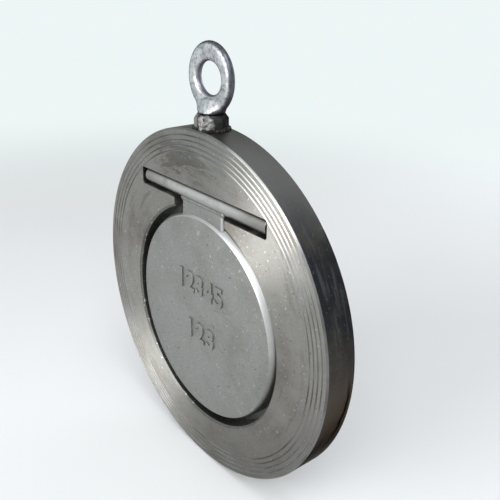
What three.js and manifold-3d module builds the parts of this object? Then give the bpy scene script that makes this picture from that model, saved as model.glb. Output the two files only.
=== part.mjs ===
// Wafer check valve, thin single-disc pattern, nominal bore 150: a turned body ring that is clamped
// between two pipe flanges, and a flap that hangs on a shaft lying across the outlet face.
// Millimetres. X runs across the valve, +Y towards the inlet, +Z up towards the lifting eye.
// The origin is on the pipe axis, half-way between the two sealing faces.
import * as THREE from "three";
import { mergeVertices } from "three/addons/utils/BufferGeometryUtils.js";
import Module from "manifold-3d";

// Driving dimensions: body
const outerDiameter = 218;
const bodyThickness = 20;
const edgeChamfer = 1;
const inletBore = 112;
const seatShelf = 14; // ledge between the inlet bore and the recess wall
const seatWall = 8; // metal left behind the recess
const seatLandWidth = 4;
const seatLandHeight = 0.7;
const recessDrop = 7; // recess, bore and disc lie this far below the pipe axis
const recessChamfer = 1.2;
const grooveCount = 4; // sealing grooves turned in each face
const groovePitch = 3;
const grooveWidth = 1;
const grooveDepth = 0.5;
const grooveInset = 4; // from the rim to the outermost groove

// Driving dimensions: shaft and the slot that it lies in
const shaftDiameter = 9.5;
const shaftLength = 115.5;
const shaftChamfer = 0.6;
const shaftFaceGap = 0.3; // the shaft lies just below the outlet face
const shaftPlay = 0.5;
const shaftEndPlay = 2.2;
const slotBridge = 1.5; // metal between the slot and the top of the recess
const slotCornerRadius = 1.5;

// Driving dimensions: flap
const discSideGap = 4;
const discSet = 1.2; // front of the disc below the outlet face
const discEdgeRadius = 3;
const discLipGap = 1.5; // from the disc's outer lip to the seat shelf
const armWidth = 40;
const armStep = 1.1; // front of the arm below the front of the disc
const armSidePlay = 4.5;
const armWrap = 0.6; // how far below the shaft's axis the arm's saddle ends, as a share of its radius
const weldReach = 3.4; // radius of the tack welds between arm and shaft
const weldFlattening = 0.75;
const weldSetback = 0.6; // middle of a tack weld below the front of the arm

// Driving dimensions: seal, its retainer and the screws
const sealThickness = 4;
const sealOverlap = 2.5; // rubber outside the seat land
const sealFlangeWidth = 3; // clamped under the retainer
const sealFlangeThickness = 2;
const retainerThickness = 3;
const retainerBoreGap = 2;
const retainerChamfer = 0.8;
const screwCount = 6;
const screwInset = 12; // from the retainer's edge in to the middle of the screws
const screwDiameter = 5;
const screwHeadDiameter = 8.5;
const screwHeadHeight = 3.5;
const screwSocket = 3; // across flats
const screwSocketDepth = 2;
const screwCover = 2; // metal between the blind screw holes and the disc's front
const washerDiameter = 9.2;
const washerThickness = 1.2;
const washerSplit = 0.9;

// Driving dimensions: lifting eye
const nutAcrossFlats = 17;
const nutHeight = 8;
const nutChamferWidth = 2;
const nutChamferHeight = 3;
const nutWeldLeg = 3;
const nutWeldTrim = 1; // thin toe of the fillet that is left off
const eyeThread = 10;
const eyeThreadDepth = 12; // engaged in the body's rim
const eyeCentreHeight = 27.2; // above the rim
const eyeOuterDiameter = 38.8;
const eyeHoleWidth = 21;
const eyeHoleHeight = 17.7;
const eyeThickness = 5.6;
const eyeEdgeRadius = 2.6; // rounding of the forged eye
const eyeNeckDiameter = 16;

// Clearance between two pieces that touch on the real valve
const seatGap = 0.3;

// Roundness of the turned pieces
const largeSegments = 60;
const mediumSegments = 36;
const smallSegments = 20;
const roundSteps = 4; // flats in a quarter turn of an edge rounding

// How far a cutting solid runs past the face that it cuts
const overshoot = 1;

// Values that follow from the driving dimensions
const outerRadius = outerDiameter / 2;
const outletFace = -bodyThickness / 2;
const inletFace = bodyThickness / 2;
const boreRadius = inletBore / 2;
const recessRadius = boreRadius + seatShelf;
const recessDepth = bodyThickness - seatWall;
const shaftRadius = shaftDiameter / 2;
const slotWidth = shaftDiameter + 2 * shaftPlay;
const slotLength = shaftLength + 2 * shaftEndPlay;
const slotDepth = shaftFaceGap + shaftDiameter + shaftPlay;
const shaftDepth = shaftFaceGap + shaftRadius;
const shaftHeight = recessRadius - recessDrop + slotBridge + slotWidth / 2;
const notchWidth = armWidth + 2 * armSidePlay;
const discRadius = recessRadius - discSideGap;
const landOuterRadius = boreRadius + seatLandWidth;
const sealOuterRadius = landOuterRadius + sealOverlap;
const retainerRadius = boreRadius - retainerBoreGap;
const sealInnerRadius = retainerRadius - sealFlangeWidth;

// Stations along the valve axis, as depths below the outlet face
const landDepth = recessDepth - seatLandHeight;
const sealBackDepth = landDepth - seatGap;
const sealFrontDepth = sealBackDepth - sealThickness;
const pocketDepth = sealFrontDepth - seatGap;
const flangeBackDepth = sealFrontDepth + sealFlangeThickness;
const retainerFrontDepth = flangeBackDepth + seatGap;
const discBackDepth = retainerFrontDepth - seatGap;
const retainerBackDepth = retainerFrontDepth + retainerThickness;
const washerFrontDepth = retainerBackDepth + seatGap;
const headFrontDepth = washerFrontDepth + washerThickness + seatGap;
const lipDepth = recessDepth - discLipGap;
const armFrontDepth = discSet + armStep;

const wasm = await Module();
wasm.setup();

// A closed geometry as a solid that can be joined and cut
function solid(geometry) {
  const bare = new THREE.BufferGeometry().setAttribute("position", geometry.getAttribute("position"));
  if (geometry.index) bare.setIndex(geometry.index);
  const merged = mergeVertices(bare, 1e-4);
  const corners = merged.index.array;
  const kept = [];
  for (let i = 0; i < corners.length; i += 3) {
    const [a, b, c] = [corners[i], corners[i + 1], corners[i + 2]];
    if (a !== b && b !== c && c !== a) kept.push(a, b, c);
  }
  const vertProperties = merged.attributes.position.array;
  return new wasm.Manifold(new wasm.Mesh({ numProp: 3, vertProperties, triVerts: new Uint32Array(kept) }));
}

// A solid as a geometry for a mesh
function geometryOf(shape) {
  const made = shape.getMesh();
  const geometry = new THREE.BufferGeometry();
  geometry.setAttribute("position", new THREE.BufferAttribute(made.vertProperties, 3));
  geometry.setIndex(new THREE.BufferAttribute(made.triVerts, 1));
  const flat = geometry.toNonIndexed();
  flat.computeVertexNormals();
  return flat;
}

function piece(name, shape, material) {
  const mesh = new THREE.Mesh(geometryOf(shape), material);
  mesh.name = name;
  return mesh;
}

// A solid turned about Y from [radius, y] points that run from the -Y end to the +Y end of the outline
function turned(points, segments) {
  return new THREE.LatheGeometry(points.map(([r, y]) => new THREE.Vector2(r, y)), segments);
}

// A block given by its lowest and highest corners
function block([x0, y0, z0], [x1, y1, z1]) {
  const geometry = new THREE.BoxGeometry(x1 - x0, y1 - y0, z1 - z0);
  return geometry.translate((x0 + x1) / 2, (y0 + y1) / 2, (z0 + z1) / 2);
}

// A rod along Y between two stations
function rodAlongY(radius, from, to, segments) {
  return new THREE.CylinderGeometry(radius, radius, to - from, segments).translate(0, (from + to) / 2, 0);
}

// A rod along X, centred on the origin
function rodAlongX(radius, length, segments) {
  return new THREE.CylinderGeometry(radius, radius, length, segments).rotateZ(Math.PI / 2);
}

// A rod or cone along Z between two heights
function coneAlongZ(bottomRadius, topRadius, from, to, segments) {
  const geometry = new THREE.CylinderGeometry(topRadius, bottomRadius, to - from, segments);
  return geometry.rotateX(Math.PI / 2).translate(0, 0, (from + to) / 2);
}

// Materials
const steel = (color, roughness) => new THREE.MeshStandardMaterial({ color, roughness, metalness: 1 });
const turnedSteel = steel(0x8f8e88, 0.38);
const castSteel = steel(0x93928f, 0.6);
const shaftSteel = steel(0xa9a9ab, 0.3);
const weldSteel = steel(0xa7a49c, 0.55);
const fastenerSteel = steel(0xb4b5b8, 0.32);
const nutSteel = steel(0x6c6b68, 0.5);
const eyeSteel = steel(0xc3c6cf, 0.28);
const nitrile = new THREE.MeshStandardMaterial({ color: 0x1d1d1e, roughness: 0.8, metalness: 0 });

// Body ring: V grooves on both faces, a stepped seat with a raised land, the shaft slot, the notch for
// the flap's arm and the tapped hole for the lifting eye
function grooved(face, inward) {
  const outline = [];
  for (let i = grooveCount - 1; i >= 0; i -= 1) {
    const middle = outerRadius - grooveInset - i * groovePitch;
    outline.push([middle - grooveWidth / 2, face]);
    outline.push([middle, face + inward * grooveDepth]);
    outline.push([middle + grooveWidth / 2, face]);
  }
  return outline;
}

function bodyRing() {
  const blank = solid(turned([
    [0, outletFace],
    ...grooved(outletFace, 1),
    [outerRadius - edgeChamfer, outletFace],
    [outerRadius, outletFace + edgeChamfer],
    [outerRadius, inletFace - edgeChamfer],
    [outerRadius - edgeChamfer, inletFace],
    ...grooved(inletFace, -1).reverse(),
    [0, inletFace],
  ], largeSegments));
  const seat = solid(turned([
    [0, outletFace - overshoot],
    [recessRadius + recessChamfer + overshoot, outletFace - overshoot],
    [recessRadius, outletFace + recessChamfer],
    [recessRadius, outletFace + recessDepth],
    [landOuterRadius, outletFace + recessDepth],
    [landOuterRadius, outletFace + landDepth],
    [boreRadius, outletFace + landDepth],
    [boreRadius, inletFace + overshoot],
    [0, inletFace + overshoot],
  ], largeSegments).translate(0, 0, -recessDrop));
  const slotOutline = new THREE.Shape();
  const [halfLength, halfWidth, corner] = [slotLength / 2, slotWidth / 2, slotCornerRadius];
  slotOutline.moveTo(-halfLength + corner, -halfWidth);
  slotOutline.lineTo(halfLength - corner, -halfWidth);
  slotOutline.absarc(halfLength - corner, -halfWidth + corner, corner, -Math.PI / 2, 0);
  slotOutline.absarc(halfLength - corner, halfWidth - corner, corner, 0, Math.PI / 2);
  slotOutline.absarc(-halfLength + corner, halfWidth - corner, corner, Math.PI / 2, Math.PI);
  slotOutline.absarc(-halfLength + corner, -halfWidth + corner, corner, Math.PI, 1.5 * Math.PI);
  const slotBlock = new THREE.ExtrudeGeometry(slotOutline, {
    depth: slotDepth + overshoot, bevelEnabled: false, curveSegments: 4,
  });
  slotBlock.rotateX(Math.PI / 2).translate(0, outletFace + slotDepth, shaftHeight);
  const notch = block(
    [-notchWidth / 2, outletFace - overshoot, shaftHeight - slotWidth / 2 - recessRadius / 2],
    [notchWidth / 2, outletFace + recessDepth, shaftHeight],
  );
  const tapped = coneAlongZ(
    eyeThread / 2 + seatGap, eyeThread / 2 + seatGap,
    outerRadius - eyeThreadDepth - seatGap, outerRadius + overshoot, smallSegments,
  );
  return blank.subtract(seat).subtract(solid(slotBlock)).subtract(solid(notch)).subtract(solid(tapped));
}

// The flap's own frame has its origin on the shaft's axis, so a depth below the outlet face becomes
const flapY = (depth) => depth - shaftDepth;
const discHeight = -recessDrop - shaftHeight;

const turnedOnDisc = (points) => solid(turned(points, largeSegments).translate(0, 0, discHeight));

function onScrewCircle(i) {
  const angle = ((i + 0.5) / screwCount) * 2 * Math.PI;
  const radius = retainerRadius - screwInset;
  return new THREE.Vector3(radius * Math.sin(angle), 0, discHeight + radius * Math.cos(angle));
}

function screwHoles(fromDepth, toDepth) {
  const rods = [];
  for (let i = 0; i < screwCount; i += 1) {
    const at = onScrewCircle(i);
    const rod = rodAlongY(screwDiameter / 2 + seatGap, flapY(fromDepth), flapY(toDepth), smallSegments);
    rods.push(solid(rod.translate(at.x, 0, at.z)));
  }
  return rods.reduce((all, rod) => all.add(rod));
}

// Cast disc and arm in one piece, with the pocket for the seal and its retainer turned in the back
function clapperDisc() {
  const edge = [];
  for (let i = 0; i <= roundSteps; i += 1) {
    const angle = (i / roundSteps) * (Math.PI / 2);
    edge.push([
      discRadius - discEdgeRadius * (1 - Math.sin(angle)),
      flapY(discSet) + discEdgeRadius * (1 - Math.cos(angle)),
    ]);
  }
  const disc = turnedOnDisc([
    [0, flapY(discSet)],
    ...edge,
    [discRadius, flapY(lipDepth)],
    [0, flapY(lipDepth)],
  ]);
  const arm = solid(block(
    [-armWidth / 2, flapY(armFrontDepth), discHeight + sealInnerRadius],
    [armWidth / 2, flapY(lipDepth), -shaftRadius * armWrap],
  ));
  const saddle = solid(rodAlongX(shaftRadius + seatGap, armWidth + 2 * overshoot, mediumSegments));
  const past = lipDepth + overshoot;
  const pocket = turnedOnDisc([
    [0, flapY(discBackDepth)],
    [sealInnerRadius - seatGap, flapY(discBackDepth)],
    [sealInnerRadius - seatGap, flapY(pocketDepth)],
    [sealOuterRadius + seatGap, flapY(pocketDepth)],
    [sealOuterRadius + seatGap, flapY(past)],
    [0, flapY(past)],
  ]);
  const holes = screwHoles(discSet + screwCover, past);
  return disc.add(arm).subtract(saddle).subtract(pocket).subtract(holes);
}

function hingeShaft() {
  const end = shaftLength / 2;
  return solid(turned([
    [0, -end],
    [shaftRadius - shaftChamfer, -end],
    [shaftRadius, -end + shaftChamfer],
    [shaftRadius, end - shaftChamfer],
    [shaftRadius - shaftChamfer, end],
    [0, end],
  ], mediumSegments).rotateZ(-Math.PI / 2));
}

// Tack weld at one end of the joint between arm and shaft; side is -1 or 1
function shaftWeld(side) {
  const bead = new THREE.SphereGeometry(weldReach, smallSegments, smallSegments / 2);
  bead.scale(1, weldFlattening, 1)
    .translate(side * (armWidth / 2), flapY(armFrontDepth) + weldSetback, -shaftRadius);
  const shaft = solid(rodAlongX(shaftRadius + seatGap, shaftLength, mediumSegments));
  const arm = solid(block(
    [-armWidth / 2 - seatGap, flapY(armFrontDepth) - seatGap, discHeight],
    [armWidth / 2 + seatGap, flapY(lipDepth) + seatGap, shaftRadius],
  ));
  return solid(bead).subtract(shaft).subtract(arm);
}

// Rubber seal ring: a thick band that meets the seat land and a thin flange held under the retainer
function sealRing() {
  const bandInner = retainerRadius + seatGap;
  return turnedOnDisc([
    [sealInnerRadius, flapY(sealFrontDepth)],
    [sealOuterRadius, flapY(sealFrontDepth)],
    [sealOuterRadius, flapY(sealBackDepth)],
    [bandInner, flapY(sealBackDepth)],
    [bandInner, flapY(flangeBackDepth)],
    [sealInnerRadius, flapY(flangeBackDepth)],
    [sealInnerRadius, flapY(sealFrontDepth)],
  ]);
}

function sealRetainer() {
  const plate = turnedOnDisc([
    [0, flapY(retainerFrontDepth)],
    [retainerRadius, flapY(retainerFrontDepth)],
    [retainerRadius, flapY(retainerBackDepth) - retainerChamfer],
    [retainerRadius - retainerChamfer, flapY(retainerBackDepth)],
    [0, flapY(retainerBackDepth)],
  ]);
  return plate.subtract(screwHoles(retainerFrontDepth - overshoot, retainerBackDepth + overshoot));
}

// Low-head socket screw, its axis on Y and its head towards +Y
function retainerScrew() {
  const tip = flapY(discSet + screwCover + seatGap);
  const underHead = flapY(headFrontDepth);
  const top = underHead + screwHeadHeight;
  const blank = solid(turned([
    [0, tip],
    [screwDiameter / 2, tip],
    [screwDiameter / 2, underHead],
    [screwHeadDiameter / 2, underHead],
    [screwHeadDiameter / 2, top],
    [0, top],
  ], smallSegments));
  const socket = rodAlongY(screwSocket / Math.sqrt(3), top - screwSocketDepth, top + overshoot, 6);
  return blank.subtract(solid(socket));
}

// Split spring washer, flat as it is when tightened
function springWasher() {
  const front = flapY(washerFrontDepth);
  const inner = screwDiameter / 2 + seatGap;
  const outer = washerDiameter / 2;
  const ring = solid(turned([
    [inner, front],
    [outer, front],
    [outer, front + washerThickness],
    [inner, front + washerThickness],
    [inner, front],
  ], smallSegments));
  const split = block(
    [-washerSplit / 2, front - overshoot, 0],
    [washerSplit / 2, front + washerThickness + overshoot, outer + overshoot],
  );
  return ring.subtract(solid(split));
}

// The lifting eye's frame has its origin on the rim, with Z out along the thread
function hexPrism(acrossFlats, from, to) {
  const corner = acrossFlats / Math.sqrt(3);
  return coneAlongZ(corner, corner, from, to, 6);
}

function eyeNut() {
  const corner = nutAcrossFlats / Math.sqrt(3);
  const [bottom, top] = [seatGap, seatGap + nutHeight];
  const blank = solid(hexPrism(nutAcrossFlats, bottom, top));
  const crown = solid(turned([
    [0, -top],
    [corner - nutChamferWidth, -top],
    [corner, nutChamferHeight - top],
    [corner, -bottom],
    [0, -bottom],
  ], mediumSegments).rotateX(-Math.PI / 2));
  const threadRadius = eyeThread / 2 + seatGap;
  const bore = coneAlongZ(threadRadius, threadRadius, bottom - overshoot, top + overshoot, smallSegments);
  return blank.intersect(crown).subtract(solid(bore));
}

// Fillet weld round one side of the nut's foot, on the rim and inside the two faces; side is -1 or 1
function nutWeld(side) {
  const corner = nutAcrossFlats / Math.sqrt(3);
  const foot = corner + nutWeldLeg;
  const [skirt, collar] = [foot + nutWeldLeg, corner - seatGap];
  const bead = solid(coneAlongZ(skirt, collar, -nutWeldLeg, nutWeldLeg, mediumSegments));
  const nut = solid(hexPrism(nutAcrossFlats + 2 * seatGap, -2 * nutWeldLeg, nutHeight));
  const [front, back] = [outletFace - overshoot, inletFace + overshoot];
  const rim = solid(rodAlongY(outerRadius + seatGap, front, back, 4 * largeSegments)
    .translate(0, 0, -outerRadius));
  const halfThickness = bodyThickness / 2 - edgeChamfer - seatGap;
  const [near, far] = [side * seatGap, side * (foot - nutWeldTrim)];
  const room = solid(block(
    [Math.min(near, far), -halfThickness, -nutWeldLeg],
    [Math.max(near, far), halfThickness, nutWeldLeg],
  ));
  return bead.intersect(room).subtract(nut).subtract(rim);
}

// Drop-shaped outline of the eye: a round head whose sides run down to the neck. It is drawn smaller
// by the edge radius, which the rounding adds again.
function eyeOutline(neckBottom) {
  const head = eyeOuterDiameter / 2 - eyeEdgeRadius;
  const foot = eyeNeckDiameter / 2 - eyeEdgeRadius;
  const footDrop = eyeCentreHeight - neckBottom - eyeEdgeRadius;
  const shoulder = Math.atan2(foot, footDrop) + Math.acos(head / Math.hypot(foot, footDrop));
  const steps = 24;
  const outline = [new THREE.Vector2(-foot, -footDrop), new THREE.Vector2(foot, -footDrop)];
  for (let i = 0; i <= steps; i += 1) {
    const angle = -Math.PI / 2 + shoulder + (i / steps) * 2 * (Math.PI - shoulder);
    outline.push(new THREE.Vector2(head * Math.cos(angle), head * Math.sin(angle)));
  }
  return new THREE.Shape(outline);
}

// The hole in the eye with its rounded edges, as the solid that cuts it
function eyeHole() {
  const [across, half] = [eyeHoleWidth / 2, eyeThickness / 2];
  const outline = [];
  for (let i = -roundSteps; i <= roundSteps; i += 1) {
    const angle = (i / roundSteps) * (Math.PI / 2);
    const flare = eyeEdgeRadius * (1 - Math.cos(angle));
    outline.push([across + flare, Math.sign(i) * (half - eyeEdgeRadius) + eyeEdgeRadius * Math.sin(angle)]);
  }
  const wide = across + eyeEdgeRadius;
  const end = half + overshoot;
  return turned([[0, -end], [wide, -end], ...outline, [wide, end], [0, end]], mediumSegments)
    .scale(1, 1, eyeHoleHeight / eyeHoleWidth);
}

// Forged eye, its tapered neck and its threaded shank in one piece
function eyeBolt() {
  const neckBottom = nutHeight + 2 * seatGap;
  const blade = new THREE.ExtrudeGeometry(eyeOutline(neckBottom), {
    depth: eyeThickness - 2 * eyeEdgeRadius,
    bevelThickness: eyeEdgeRadius,
    bevelSize: eyeEdgeRadius,
    bevelSegments: 3,
  });
  blade.translate(0, 0, eyeEdgeRadius - eyeThickness / 2).rotateX(Math.PI / 2);
  const neckRadius = eyeNeckDiameter / 2;
  const neckTop = eyeCentreHeight - eyeHoleHeight / 2 - eyeEdgeRadius;
  const neck = coneAlongZ(neckRadius, eyeThickness / 2, neckBottom, neckTop, mediumSegments);
  const shankTop = neckBottom + overshoot;
  const shank = coneAlongZ(eyeThread / 2, eyeThread / 2, -eyeThreadDepth, shankTop, smallSegments);
  return solid(blade).subtract(solid(eyeHole())).translate(0, 0, eyeCentreHeight)
    .add(solid(neck)).add(solid(shank));
}

// Assembly
const valve = new THREE.Group();
valve.name = "wafer_check_valve";
valve.add(piece("valve_body", bodyRing(), turnedSteel));

const flap = new THREE.Group();
flap.name = "flap";
flap.position.set(0, outletFace + shaftDepth, shaftHeight);
flap.add(piece("clapper_disc", clapperDisc(), castSteel));
flap.add(piece("hinge_shaft", hingeShaft(), shaftSteel));
flap.add(piece("shaft_weld_left", shaftWeld(-1), weldSteel));
flap.add(piece("shaft_weld_right", shaftWeld(1), weldSteel));
flap.add(piece("disc_seal_ring", sealRing(), nitrile));
flap.add(piece("seal_retainer_plate", sealRetainer(), turnedSteel));
for (let i = 0; i < screwCount; i += 1) {
  const screw = piece(`retainer_screw_${i + 1}`, retainerScrew(), fastenerSteel);
  screw.position.copy(onScrewCircle(i));
  flap.add(screw);
  const washer = piece(`spring_washer_${i + 1}`, springWasher(), fastenerSteel);
  washer.position.copy(onScrewCircle(i));
  washer.rotation.y = i; // the splits point different ways
  flap.add(washer);
}
valve.add(flap);

const liftingEye = new THREE.Group();
liftingEye.name = "lifting_eye";
liftingEye.position.z = outerRadius;
liftingEye.add(piece("eye_nut", eyeNut(), nutSteel));
liftingEye.add(piece("nut_weld_left", nutWeld(-1), weldSteel));
liftingEye.add(piece("nut_weld_right", nutWeld(1), weldSteel));
liftingEye.add(piece("eye_bolt", eyeBolt(), eyeSteel));
valve.add(liftingEye);

export default valve;
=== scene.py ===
import math

import bmesh
import bpy
from mathutils import Matrix, Vector, noise


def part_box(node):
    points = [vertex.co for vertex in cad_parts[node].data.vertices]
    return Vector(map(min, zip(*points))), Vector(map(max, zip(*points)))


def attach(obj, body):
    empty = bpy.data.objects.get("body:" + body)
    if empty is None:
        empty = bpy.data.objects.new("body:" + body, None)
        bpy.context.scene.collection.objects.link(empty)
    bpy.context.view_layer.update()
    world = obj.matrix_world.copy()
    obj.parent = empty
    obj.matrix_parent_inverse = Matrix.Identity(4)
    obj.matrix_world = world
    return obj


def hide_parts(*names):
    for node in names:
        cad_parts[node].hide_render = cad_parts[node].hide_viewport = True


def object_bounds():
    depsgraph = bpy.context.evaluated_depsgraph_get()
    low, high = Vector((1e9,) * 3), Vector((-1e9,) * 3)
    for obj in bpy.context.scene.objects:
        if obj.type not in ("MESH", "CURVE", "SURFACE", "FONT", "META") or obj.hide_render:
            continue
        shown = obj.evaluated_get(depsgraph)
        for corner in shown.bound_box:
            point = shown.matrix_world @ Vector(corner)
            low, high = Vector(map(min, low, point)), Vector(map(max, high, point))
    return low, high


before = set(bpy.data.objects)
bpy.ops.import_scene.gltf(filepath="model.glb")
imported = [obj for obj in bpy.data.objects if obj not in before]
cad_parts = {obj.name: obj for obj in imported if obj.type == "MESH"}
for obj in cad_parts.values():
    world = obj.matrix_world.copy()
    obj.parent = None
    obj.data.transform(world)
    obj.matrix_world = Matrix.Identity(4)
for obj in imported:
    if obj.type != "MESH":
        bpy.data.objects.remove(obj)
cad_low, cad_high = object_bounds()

# Body ring
#
# One thick stainless ring, turned on a lathe: each face shows the tool's fine circles and four sealing
# grooves, and the rim keeps a darker skin. The seat and its recess are bored below the middle, and the
# slot for the shaft and the notch for the flap's arm are milled afterwards.
MM = 0.001
ring_low, ring_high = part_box("valve_body")
outlet_face = ring_low.y
ring_radius = (ring_high.x - ring_low.x) / 2 / MM
ring_thickness = (ring_high.y - ring_low.y) / MM
ring_chamfer = 1.0
groove_count = 4
groove_inset = 4
groove_pitch = 3
groove_radii = [ring_radius - groove_inset - groove_pitch * i for i in range(groove_count)]
groove_width = 1.0
groove_depth = 0.5
bore_radius = 56.0
bore_drop = 7.0
bore_chamfer = 0.6
land_radius = 60.0
land_depth = 11.3
recess_radius = 70.0
recess_depth = 12.0
recess_chamfer = 1.2

shaft_low, shaft_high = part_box("hinge_shaft")
shaft_height = (shaft_high.z + shaft_low.z) / 2 / MM
shaft_depth = ((shaft_high.y + shaft_low.y) / 2 - outlet_face) / MM
shaft_length = (shaft_high.x - shaft_low.x) / MM
shaft_radius = (shaft_high.z - shaft_low.z) / 2 / MM
slot_end_play = 2.2
slot_side_play = 0.5
slot_depth = 10.3
slot_corner = 1.5
notch_width = 49.0
notch_foot = 29.5
milled_chamfer = 0.3
cut_past = 1.0


def eased(outline, ease, steps=3):
    """The outline with each corner rounded over a distance, or over less where an edge is short."""
    points = [Vector(point) for point in outline]
    smooth = []
    for before, corner, after in zip(points[-1:] + points[:-1], points, points[1:] + points[:1]):
        back, ahead = before - corner, after - corner
        reach = min(ease, 0.4 * back.length, 0.4 * ahead.length)
        start, end = corner + reach * back.normalized(), corner + reach * ahead.normalized()
        for i in range(steps + 1):
            t = i / steps
            smooth.append((1 - t) ** 2 * start + 2 * t * (1 - t) * corner + t * t * end)
    return smooth


def in_metres(name, shape):
    """A mesh drawn in millimetres becomes an object in metres."""
    bmesh.ops.scale(shape, vec=(MM, MM, MM), verts=shape.verts)
    bmesh.ops.recalc_face_normals(shape, faces=shape.faces)
    mesh = bpy.data.meshes.new(name)
    shape.to_mesh(mesh)
    shape.free()
    piece = bpy.data.objects.new(name, mesh)
    bpy.context.scene.collection.objects.link(piece)
    return piece


def lofted(name, rings, closed=False):
    """A skin over rings of points that all have the same count. An open skin gets a face at each end."""
    shape = bmesh.new()
    loops = [[shape.verts.new(point) for point in ring] for ring in rings]
    pairs = list(zip(loops, loops[1:]))
    if closed:
        pairs.append((loops[-1], loops[0]))
    else:
        shape.faces.new(loops[0])
        shape.faces.new(loops[-1])
    for low, high in pairs:
        for i in range(len(low)):
            j = (i + 1) % len(low)
            shape.faces.new((low[i], low[j], high[j], high[i]))
    return in_metres(name, shape)


def turned_ring(name, section, sides=240):
    """A ring turned about Z. Its section is a closed loop of (radius, height) points."""
    rings = []
    for i in range(sides):
        turn = 2 * math.pi * i / sides
        rings.append([(r * math.cos(turn), r * math.sin(turn), height) for r, height in section])
    return lofted(name, rings, closed=True)


def turned_rod(name, outline, sides=240):
    """A solid turned about Z. Its outline is (radius, height) points from the lowest to the highest."""
    rings = []
    for r, height in outline:
        turns = [2 * math.pi * i / sides for i in range(sides)]
        rings.append([(r * math.cos(turn), r * math.sin(turn), height) for turn in turns])
    return lofted(name, rings)


def milled_pocket(name, length, width, corner, depth):
    """A cutter for a pocket with round corners and a small chamfer, its mouth at height 0."""
    rings = []
    sides = 32
    flare = ((-depth, 0), (-milled_chamfer, 0), (0, milled_chamfer), (cut_past, milled_chamfer))
    for height, growth in flare:
        ring = []
        for i in range(sides):
            turn = 2 * math.pi * (i + 0.5) / sides
            across = math.copysign(length / 2 - corner, math.cos(turn))
            along = math.copysign(width / 2 - corner, math.sin(turn))
            reach = corner + growth
            ring.append((across + reach * math.cos(turn), along + reach * math.sin(turn), height))
        rings.append(ring)
    return lofted(name, rings)


def moved(piece, x=0.0, y=0.0, z=0.0):
    """Shifts a piece's mesh, in millimetres."""
    piece.data.transform(Matrix.Translation((x * MM, y * MM, z * MM)))
    return piece


def turned_over(piece, axis, degrees):
    """Turns a piece's mesh about an axis through its origin."""
    piece.data.transform(Matrix.Rotation(math.radians(degrees), 4, axis))
    return piece


def with_modifiers_applied(piece):
    evaluated = piece.evaluated_get(bpy.context.evaluated_depsgraph_get())
    mesh = bpy.data.meshes.new_from_object(evaluated)
    piece.modifiers.clear()
    piece.data = mesh
    return piece


def combined(piece, operation, tools):
    """Joins each tool to a piece, or cuts it out of the piece, and removes the tool."""
    for tool in tools:
        step = piece.modifiers.new(tool.name, "BOOLEAN")
        step.operation = operation
        step.solver = "EXACT"
        step.object = tool
        with_modifiers_applied(piece)
        bpy.data.objects.remove(tool)
    return piece


def smooth_shaded(piece, sharpest=30):
    """Shades a piece smooth, except over edges that turn by more than an angle in degrees."""
    piece.data.shade_smooth()
    piece.data.set_sharp_from_angle(angle=math.radians(sharpest))
    return piece


def facing_outlet(piece, height=0.0):
    """Stands a piece that was drawn lying down on the outlet face, with its Z out of the valve."""
    upright = Matrix.Rotation(math.pi / 2, 4, "X")
    piece.matrix_world = Matrix.Translation((0, outlet_face, height * MM)) @ upright
    return piece


def grooves(height, inward):
    """The part of the ring's section that crosses one face's grooves, from the rim inwards."""
    section = []
    for radius in groove_radii:
        section.append((radius + groove_width / 2, height))
        section.append((radius, height + inward * groove_depth))
        section.append((radius - groove_width / 2, height))
    return section


core_radius = 20.0
tool_rounding = 0.2
body = turned_ring("body_ring_turned", eased([
    (core_radius, 0),
    *reversed(grooves(0, -1)),
    (ring_radius - ring_chamfer, 0),
    (ring_radius, -ring_chamfer),
    (ring_radius, ring_chamfer - ring_thickness),
    (ring_radius - ring_chamfer, -ring_thickness),
    *grooves(-ring_thickness, 1),
    (core_radius, -ring_thickness),
], tool_rounding, steps=2))

seat_cutter = moved(turned_rod("seat_cutter", [
    (bore_radius + bore_chamfer + cut_past, -ring_thickness - cut_past),
    (bore_radius, bore_chamfer - ring_thickness),
    (bore_radius, -land_depth),
    (land_radius, -land_depth),
    (land_radius, -recess_depth),
    (recess_radius, -recess_depth),
    (recess_radius, -recess_chamfer),
    (recess_radius + recess_chamfer + cut_past, cut_past),
]), y=-bore_drop)
slot_length = shaft_length + 2 * slot_end_play
slot_width = 2 * (shaft_radius + slot_side_play)
slot_cutter = moved(
    milled_pocket("slot_cutter", slot_length, slot_width, slot_corner, slot_depth),
    y=shaft_height,
)
notch_cutter = moved(
    milled_pocket("notch_cutter", notch_width, shaft_height - notch_foot, milled_chamfer, recess_depth),
    y=(shaft_height + notch_foot) / 2,
)
thread_radius = 5.3
thread_depth = 12.3
thread_cutter = turned_over(turned_rod("thread_cutter", [
    (thread_radius, ring_radius - thread_depth), (thread_radius, ring_radius + cut_past),
], sides=32), "X", -90)
moved(thread_cutter, z=-ring_thickness / 2)


class Signal:
    """The output of a node, so that shader maths reads as a plain expression."""

    def __init__(self, finish, socket):
        self.finish = finish
        self.socket = socket

    def maths(self, operation, *values):
        return self.finish.node("ShaderNodeMath", {"operation": operation}, dict(enumerate(values)))

    def __add__(self, other):
        return self.maths("ADD", self, other)

    def __sub__(self, other):
        return self.maths("SUBTRACT", self, other)

    def __rsub__(self, other):
        return self.maths("SUBTRACT", other, self)

    def __mul__(self, other):
        return self.maths("MULTIPLY", self, other)

    def __truediv__(self, other):
        return self.maths("DIVIDE", self, other)

    def __pow__(self, other):
        return self.maths("POWER", self, other)

    def away_from(self, value):
        """How far the signal is from a value, on either side."""
        difference = self - value
        return difference.maths("ABSOLUTE", difference)

    __radd__ = __add__
    __rmul__ = __mul__


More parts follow.
